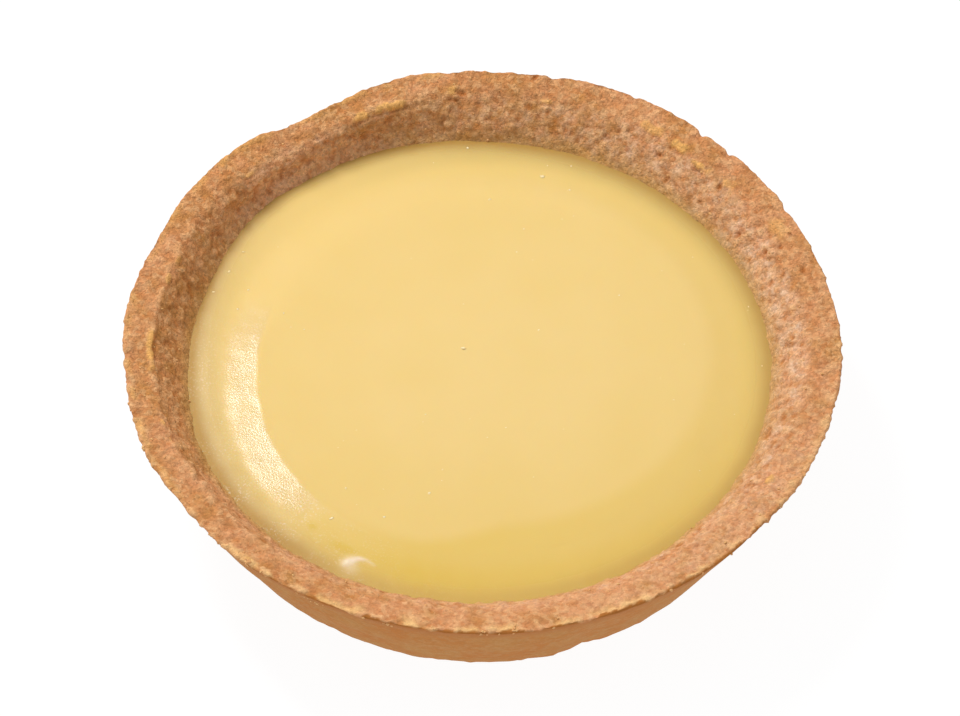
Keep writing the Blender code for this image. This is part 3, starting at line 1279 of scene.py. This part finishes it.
@dataclass
class CustardBubbles:
    """Tiny white bubbles and specks set in the custard's skin."""

    filling: Skin
    scattered: int = 46
    scattered_radius: float = 31.5
    flatness: float = 0.13
    detail: int = 2
    seed: int = 11
    named: tuple[tuple[float, float, float], ...] = (  # azimuth, radius, size
        (76.0, 28.3, 0.6), (88.0, 23.5, 0.38), (93.0, 32.0, 0.36), (142.0, 2.9, 0.4),
        (252.0, 19.8, 0.4), (230.0, 23.4, 0.34), (233.0, 27.7, 0.34), (244.0, 24.5, 0.28),
        (161.0, 32.3, 0.3), (155.0, 31.9, 0.3), (149.0, 32.0, 0.26), (164.0, 28.9, 0.26),
        (158.0, 28.8, 0.24),
    )

    def build(self) -> bpy.types.Object:
        """All the bubbles as one piece.

        Returns:
            The piece.
        """
        chance = random.Random(self.seed)
        seats = [self.seat(azimuth, radius, size) for azimuth, radius, size in self.named]
        for _ in range(self.scattered):
            azimuth, radius = chance.uniform(0.0, 360.0), self.scattered_radius * math.sqrt(chance.random())
            seats.append(self.seat(azimuth, radius, chance.uniform(0.1, 0.2)))
        return mesh_object("custard_bubbles", *lump_shapes(seats, chance, self.detail, 71))

    def seat(self, azimuth: float, radius: float, size: float) -> Seat:
        """One bubble's seat on the custard's top."""
        off_top = 9.0 * (self.filling.outward[:, 2] < FACING_UP)
        return self.filling.seat(self.filling.off_place(azimuth, radius) + off_top, size, self.flatness)


# Finishes.


class ShaderBench:
    """A material's nodes, with one method for each kind that the finishes use."""

    def __init__(self, name: str, **values: float | Colour) -> None:
        """Starts a material with one Principled shader.

        Args:
            name: The material's name.
            values: What the shader's own sockets are set to, named with _ for a space.
        """
        self.material = bpy.data.materials.new(name)
        self.material.use_nodes = True
        self.nodes = self.material.node_tree.nodes
        self.links = self.material.node_tree.links
        self.shader = self.nodes["Principled BSDF"]
        self.place = self.nodes.new("ShaderNodeTexCoord").outputs["Object"]
        for socket, value in values.items():
            self.feed(self.shader.inputs[socket.replace("_", " ")], value)

    def feed(self, socket: Socket, value: Socket | float | Colour) -> None:
        """Links a socket to another, or sets what it holds.

        Args:
            socket: The socket.
            value: Another socket, a number, a colour or three numbers.
        """
        if isinstance(value, bpy.types.NodeSocket):
            self.links.new(value, socket)
        else:
            socket.default_value = (*value, 1.0) if socket.type == "RGBA" else value

    def node(
        self, kind: str, inputs: dict[str | int, Socket | float | Colour], **settings: str
    ) -> bpy.types.Node:
        """A new node.

        Args:
            kind: The node's kind.
            inputs: What its sockets are fed, by their names or numbers.
            settings: The node's own settings.

        Returns:
            The node.
        """
        made = self.nodes.new("ShaderNode" + kind)
        for name, setting in settings.items():
            setattr(made, name, setting)
        for socket, value in inputs.items():
            self.feed(made.inputs[socket], value)
        return made

    def mask(self, mask: Mask, share: float = 1.0) -> Socket:
        """A mesh's mask, from 0 to 1, times a share."""
        return self.times(self.node("Attribute", {}, attribute_name=mask.value).outputs["Fac"], share)

    def speckle(
        self, size: float, low: float, high: float, detail: float = 3.0, grit: float = 0.6
    ) -> Socket:
        """Noise in lumps of a size in millimetres.

        Args:
            size: The lumps' size.
            low: The noise that gives 0.
            high: The noise that gives 1.
            detail: How many finer layers it has.
            grit: How strong each finer layer is beside the one before.

        Returns:
            A number from 0 to 1.
        """
        inputs = {"Vector": self.place, "Scale": 1.0 / (size * MM), "Detail": detail, "Roughness": grit}
        return self.span(self.node("TexNoise", inputs).outputs["Fac"], low, high)

    def grains(self, size: float) -> tuple[Socket, Socket]:
        """Packed grains of uneven outline.

        Args:
            size: The grains' usual size in millimetres.

        Returns:
            A number from 0 to 1 that is each grain's own, and 0 at its middle to about 1 at its edge.
        """
        wobble = self.node("TexNoise", {"Vector": self.place, "Scale": 0.8 / (size * MM)})
        reach = (1.2 * size * MM,) * 3
        inputs = {0: wobble.outputs["Color"], 1: reach, 2: self.place}
        shifted = self.node("VectorMath", inputs, operation="MULTIPLY_ADD").outputs["Vector"]
        grain = self.node("TexVoronoi", {"Vector": shifted, "Scale": 1.0 / (size * MM)})
        parts = self.node("SeparateColor", {"Color": grain.outputs["Color"]})
        return parts.outputs["Red"], grain.outputs["Distance"]

    def span(self, value: Socket, low: float, high: float) -> Socket:
        """A number stretched so that low gives 0 and high gives 1, and held between them."""
        return self.node("MapRange", {"Value": value, "From Min": low, "From Max": high}).outputs["Result"]

    def count(self, operation: str, first: Socket | float, second: Socket | float) -> Socket:
        """A sum, a difference or a product of two numbers."""
        return self.node("Math", {0: first, 1: second}, operation=operation).outputs["Value"]

    def times(self, first: Socket, second: Socket | float) -> Socket:
        """The product of two numbers."""
        return self.count("MULTIPLY", first, second)

    def blend(
        self, share: Socket | float, under: Socket | Colour, over: Socket | Colour, way: str = "MIX"
    ) -> Socket:
        """Two colours blended.

        Args:
            share: How much of the second shows.
            under: The first colour.
            over: The second colour.
            way: How they blend.

        Returns:
            The blended colour.
        """
        inputs = {"Factor": share, 6: under, 7: over}
        return self.node("Mix", inputs, data_type="RGBA", blend_type=way).outputs[2]

    def coats(self, base: Colour, *coats: tuple[Socket | float, Socket | Colour]) -> Socket:
        """Colours laid one over another.

        Args:
            base: The lowest colour.
            coats: How much of each further coat shows, and its colour, from the bottom up.

        Returns:
            The colour that shows.
        """
        colour = base
        for share, over in coats:
            colour = self.blend(share, colour, over)
        return colour

    def bumps(self, *heights: tuple[Socket, float]) -> None:
        """Gives the shader fine relief.

        Args:
            heights: Heights from 0 to 1 and their depths in millimetres.
        """
        inputs: dict[str | int, Socket | float | Colour] = {}
        for height, depth in heights:
            inputs |= {"Height": height, "Distance": depth * MM}
            inputs["Normal"] = self.node("Bump", inputs).outputs["Normal"]
        self.links.new(inputs["Normal"], self.shader.inputs["Normal"])

    def paint(self, colour: Socket, roughness: Socket | float) -> None:
        """Gives the shader its colour and how dull it is."""
        self.feed(self.shader.inputs["Base Color"], colour)
        self.feed(self.shader.inputs["Roughness"], roughness)


@dataclass(frozen=True)
class BakedPastry:
    """Dry, sandy shortcrust: browned where high, redder in its hollows, smooth where moulded; painted shade
    and light.
    """

    crumb: Colour = (0.76, 0.375, 0.169)
    crumb_dark: Colour = (0.56, 0.23, 0.096)
    pale: Colour = (0.86, 0.51, 0.245)
    # This colour serves both the toasted pastry and the painted shade on the hollow's wall.
    toast_and_shade: Colour = (0.51, 0.22, 0.058)
    rusty: Colour = (0.58, 0.215, 0.07)
    # This colour serves both the pale pastry and the painted light on the hollow's right wall.
    blond_and_lit: Colour = (0.80, 0.52, 0.34)
    # This colour serves both the hollows and the painted shadow under the golden patches.
    hollow: Colour = (0.42, 0.125, 0.02)
    soaked: Colour = (0.55, 0.31, 0.085)
    moulded: Colour = (0.49, 0.172, 0.028)
    moulded_pale: Colour = (0.49, 0.215, 0.05)
    moulded_dusty: Colour = (0.52, 0.28, 0.10)
    # This colour is painted shade on the moulded wall just under the cut border.
    under_border_shade: Colour = (0.44, 0.155, 0.03)
    butter: Colour = (0.84, 0.44, 0.12)
    border: Colour = (0.93, 0.60, 0.235)
    grain_dark: Colour = (0.82, 0.82, 0.82)
    grain_light: Colour = (1.24, 1.24, 1.24)

    def material(self) -> bpy.types.Material:
        """The finish as a material.

        Returns:
            The material.
        """
        bench = ShaderBench("baked_shortcrust", Specular_IOR_Level=0.2, Metallic=0.0)
        own, edge = bench.grains(0.26)
        tone, _ = bench.grains(0.6)
        wall = bench.coats(
            self.moulded,
            (bench.speckle(4.0, 0.36, 0.66, 4.0), self.moulded_pale),
            (bench.times(bench.speckle(1.0, 0.45, 0.68, 4.0, 0.75), 0.6), self.moulded_dusty),
            (bench.mask(Mask.UNDER_BORDER_SHADE), self.under_border_shade),
        )
        colour = bench.coats(
            self.crumb_dark,
            (bench.speckle(1.0, 0.34, 0.64, 4.0, 0.85), self.crumb),
            (bench.mask(Mask.TOAST_AND_SHADE), self.toast_and_shade),
            (bench.times(bench.speckle(1.8, 0.5, 0.7, 4.0, 0.7), 0.6), self.rusty),
            (bench.times(bench.mask(Mask.BLOND_AND_LIT), bench.speckle(1.1, 0.32, 0.62, 4.0, 0.75)), self.blond_and_lit),
            (bench.mask(Mask.KNOB, 0.6), self.pale),
            (bench.times(bench.span(tone, 0.72, 0.8), 0.3), self.pale),
            (bench.times(bench.span(tone, 0.24, 0.16), 0.35), self.rusty),
            (bench.mask(Mask.HOLLOW_AND_SHADOW, 0.85), self.hollow),
            (bench.mask(Mask.SOAKED, 0.65), self.soaked),
            (bench.mask(Mask.BORDER, 0.6), self.border),
            (bench.mask(Mask.MOULDED), wall),
            (bench.mask(Mask.BUTTERY, 0.8), self.butter),
        )
        shade = bench.blend(own, self.grain_dark, self.grain_light)
        cut = bench.count("SUBTRACT", 1.0, bench.mask(Mask.MOULDED, 0.5))
        gritty = bench.times(cut, bench.mask(Mask.SANDY))
        colour = bench.blend(gritty, colour, shade, "MULTIPLY")
        bench.paint(colour, bench.count("SUBTRACT", 0.85, bench.mask(Mask.BUTTERY, 0.3)))
        sandy = bench.times(bench.speckle(0.5, 0.34, 0.66, 3.0, 0.8), gritty)
        tops = bench.times(bench.count("SUBTRACT", 1.0, edge), gritty)
        bench.bumps((sandy, 0.09), (tops, 0.045))
        return bench.material


@dataclass(frozen=True)
class EggCustard:
    """Smooth set custard: satin, pale yellow, browner and duller at the pastry, with painted shade and
    glints.
    """

    body: Colour = (0.865, 0.625, 0.24)
    deep: Colour = (0.76, 0.52, 0.095)
    # This colour is painted shade on the custard near the pastry's wall.
    shaded: Colour = (0.475, 0.345, 0.112)
    edge: Colour = (0.46, 0.25, 0.04)
    # This colour is a painted dimming of the custard where the key light's sheen falls.
    sheen_dimmed: Colour = (0.745, 0.53, 0.205)
    milky: Colour = (0.95, 0.80, 0.64)
    glow: Colour = (1.0, 0.6, 0.2)  # how far red, green and blue light go in, in millimetres

    def material(self) -> bpy.types.Material:
        """The finish as a material.

        Returns:
            The material.
        """
        bench = ShaderBench(
            "egg_custard",
            Specular_IOR_Level=0.4,
            Subsurface_Weight=0.25,
            Subsurface_Radius=self.glow,
            Subsurface_Scale=MM,
        )
        # Painted glints, in the milky colour.
        glints = bench.times(bench.speckle(0.24, 0.58, 0.68, 1.0), bench.mask(Mask.GLINTED))
        colour = bench.coats(
            self.body,
            (bench.times(bench.speckle(9.0, 0.3, 0.75, 1.0), 0.12), self.deep),
            (bench.mask(Mask.DEEP), self.deep),
            (bench.mask(Mask.SHADED), self.shaded),
            (bench.mask(Mask.EDGE), self.edge),
            # A painted dimming where the key light's sheen falls.
            (bench.mask(Mask.RIPPLED_SHEEN), self.sheen_dimmed),
            (bench.mask(Mask.MILKY), self.milky),
            # Painted glints.
            (bench.times(glints, 0.3), self.milky),
        )
        bench.paint(colour, bench.count("ADD", 0.2, bench.mask(Mask.EDGE, 0.4)))
        ripples = bench.times(bench.speckle(0.2, 0.36, 0.66, 1.0), bench.mask(Mask.RIPPLED_SHEEN))
        bench.bumps((ripples, 0.0065))
        return bench.material


@dataclass(frozen=True)
class PaleCrumb:
    """Loose crumbs, paler than the crust that they lie on."""

    pale: Colour = (0.82, 0.48, 0.19)
    brown: Colour = (0.74, 0.37, 0.14)

    def material(self) -> bpy.types.Material:
        """The finish as a material.

        Returns:
            The material.
        """
        bench = ShaderBench("pale_crumb", Specular_IOR_Level=0.35)
        bench.paint(bench.blend(bench.speckle(1.2, 0.4, 0.6, 2.0), self.brown, self.pale), 0.8)
        bench.bumps((bench.speckle(0.2, 0.35, 0.65, 2.0), 0.04))
        return bench.material


@dataclass(frozen=True)
class MilkFoam:
    """The bubbles' creamy white."""

    white: Colour = (0.93, 0.79, 0.48)
    cream: Colour = (0.90, 0.70, 0.33)

    def material(self) -> bpy.types.Material:
        """The finish as a material.

        Returns:
            The material.
        """
        bench = ShaderBench("milk_foam", Specular_IOR_Level=0.3)
        bench.paint(bench.blend(bench.speckle(0.4, 0.4, 0.6, 1.0), self.white, self.cream), 0.6)
        return bench.material


# The studio.


@dataclass
class Studio:
    """A pale floor, soft light all round, one soft key light and the camera."""

    form: TartForm
    camera_elevation: float = 52.0
    lens: float = 201.9
    sensor: float = 36.0
    nearest: float = 0.01  # what the camera shows, in metres
    aim_aside: float = -0.33
    aim_forward: float = -2.55
    key_azimuth: float = 130.0
    key_elevation: float = 51.0
    key_width: float = 130.0
    key_height: float = 250.0
    key_power: float = 2.45
    distance: float = 600.0
    surround: float = 0.55
    floor_size: float = 4000.0
    floor_gap: float = 0.02
    floor_colour: Colour = (0.1, 0.1, 0.1)
    floor_lift: float = 0.94

    def build(self) -> None:
        """Makes all of it."""
        self.make_camera()
        self.make_surround()
        self.make_key()
        self.make_floor()
        bpy.context.scene.view_settings.view_transform = "Standard"

    def aimed(self, data: bpy.types.ID, aim: Vector, azimuth: float, elevation: float) -> bpy.types.Object:
        """Stands a camera or a light at its distance, facing a point.

        Args:
            data: The camera or the light.
            aim: The point in millimetres.
            azimuth: The azimuth that it stands at, as seen from the point.
            elevation: How high it stands, in degrees.

        Returns:
            The object.
        """
        turn, rise = math.radians(azimuth), math.radians(elevation)
        level = math.cos(rise)
        back = Vector((level * math.cos(turn), level * math.sin(turn), math.sin(rise)))
        made = add_object(data.name, data)
        made.location = aim * MM + back * self.distance * MM
        made.rotation_euler = back.to_track_quat("Z", "Y").to_euler()
        return made

    def make_camera(self) -> None:
        """A long lens that looks down at the tart from the front."""
        data = bpy.data.cameras.new("camera")
        data.lens = self.lens
        data.sensor_width = self.sensor
        data.clip_start = self.nearest
        aim = Vector((self.aim_aside, self.aim_forward, self.form.height))
        bpy.context.scene.camera = self.aimed(data, aim, -90.0, self.camera_elevation)

    def make_surround(self) -> None:
        """Even white light from everywhere."""
        world = bpy.data.worlds.new("surround")
        world.use_nodes = True
        background = world.node_tree.nodes["Background"]
        background.inputs["Color"].default_value = (*WHITE, 1.0)
        background.inputs["Strength"].default_value = self.surround
        bpy.context.scene.world = world

    def make_key(self) -> None:
        """The key light: a softbox behind the tart's left shoulder."""
        data = bpy.data.lights.new("key", "AREA")
        data.shape = "RECTANGLE"
        data.size = self.key_width * MM
        data.size_y = self.key_height * MM
        data.energy = self.key_power
        self.aimed(data, Vector(), self.key_azimuth, self.key_elevation)

    def make_floor(self) -> None:
        """A wide pale floor just under the tart's foot."""
        half = self.floor_size / 2
        corners = [(x * half, y * half, -self.floor_gap) for x, y in ((-1, -1), (1, -1), (1, 1), (-1, 1))]
        floor = mesh_object("floor", np.array(corners), [(0, 1, 2, 3)])
        bench = ShaderBench(
            "studio_floor",
            Base_Color=self.floor_colour,
            Roughness=1.0,
            Specular_IOR_Level=0.0,
            Emission_Color=WHITE,
            Emission_Strength=self.floor_lift,
        )
        floor.data.materials.append(bench.material)
        floor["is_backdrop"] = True


def hand_over(
    piece: bpy.types.Object, material: bpy.types.Material, slot: Slot, node: str | None = None
) -> None:
    """Dresses a piece, lets it ride with the tart and reports it.

    Args:
        piece: The piece.
        material: Its finish.
        slot: The material slot that the finish belongs to. Not used.
        node: The solid that the piece stands for, if it does.
    """
    piece.data.materials.append(material)
    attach(piece, BODY)
    if node is not None:
        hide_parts(node)
    LOG.info("%s: %d faces", piece.name, len(piece.data.polygons))


def main() -> None:
    """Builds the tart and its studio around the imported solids."""
    logging.basicConfig(level=logging.INFO, format="%(name)s: %(message)s")
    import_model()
    solid_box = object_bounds()
    form = TartForm.from_frame()
    Studio(form).build()

    filling = CustardFilling(form)
    shell_skin = CrustShell(form, filling.waterline).build()
    hand_over(shell_skin.solid("crust_shell"), BakedPastry().material(), Slot.PASTRY, "crust")
    filling_skin = filling.build()
    hand_over(filling_skin.solid("custard_filling"), EggCustard().material(), Slot.CUSTARD, "custard")
    hand_over(StuckCrumbs(shell_skin).build(), PaleCrumb().material(), Slot.PASTRY)
    hand_over(CustardBubbles(filling_skin).build(), MilkFoam().material(), Slot.CUSTARD)

    boxes = {"cad": solid_box, "visual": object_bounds()}
    {name: [list(corner) for corner in box] for name, box in boxes.items()}


if __name__ == "__main__":
    main()
